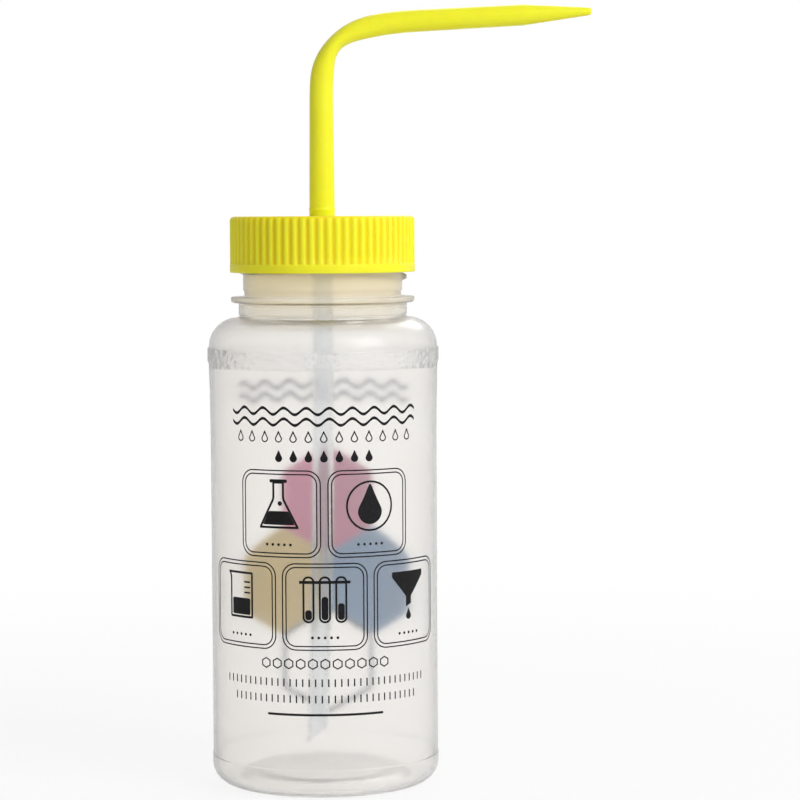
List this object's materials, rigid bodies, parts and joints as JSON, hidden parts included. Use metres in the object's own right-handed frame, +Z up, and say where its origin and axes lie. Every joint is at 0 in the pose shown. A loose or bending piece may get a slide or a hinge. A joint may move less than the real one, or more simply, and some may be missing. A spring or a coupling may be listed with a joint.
{
  "type": "wash bottle",
  "caption": "Squeeze wash bottle: round translucent wide-mouth bottle, ribbed yellow screw cap, bent yellow spout with tapered tip, and a dip tube.",
  "frame": {"origin": "centre of the bottle's base, on the plane of its foot ring and on the bottle's axis", "axes": "+Z up along the bottle's axis, +X the way the spout points, -Y the side with the front print"},
  "size_m": [0.1182, 0.071, 0.2385],
  "materials": {
    "bottle_wall": "translucent satin polyethylene",
    "cap_plastic": "satin moulded polypropylene",
    "seal": "matt foamed polyethylene",
    "spout_plastic": "smooth moulded polyethylene",
    "dip_tube_plastic": "translucent extruded polyethylene"
  },
  "bodies": {
    "bottle": {"bottle": "bottle_wall"},
    "seal": {"sealing_disc": "seal"},
    "cap": {"cap": "cap_plastic"},
    "spout": {"spout": "spout_plastic", "dip_tube": "dip_tube_plastic"}
  },
  "joints": [
    {"name": "closure_lift", "type": "slide", "parent": "bottle", "child": "seal", "axis": [0, 0, 1], "range_m": [0, 0.01057]},
    {"name": "cap_turn", "type": "hinge", "parent": "seal", "child": "cap", "pos_m": [0, 0, 0.165], "axis": [0, 0, 1], "range_deg": [0, 900]},
    {"name": "spout_swivel", "type": "hinge", "parent": "seal", "child": "spout", "pos_m": [0, 0, 0.1735], "axis": [0, 0, 1], "continuous": true}
  ],
  "couplings": [
    {"joint": "closure_lift", "follows": "cap_turn", "m_per_rad": 0.00067323}
  ]
}
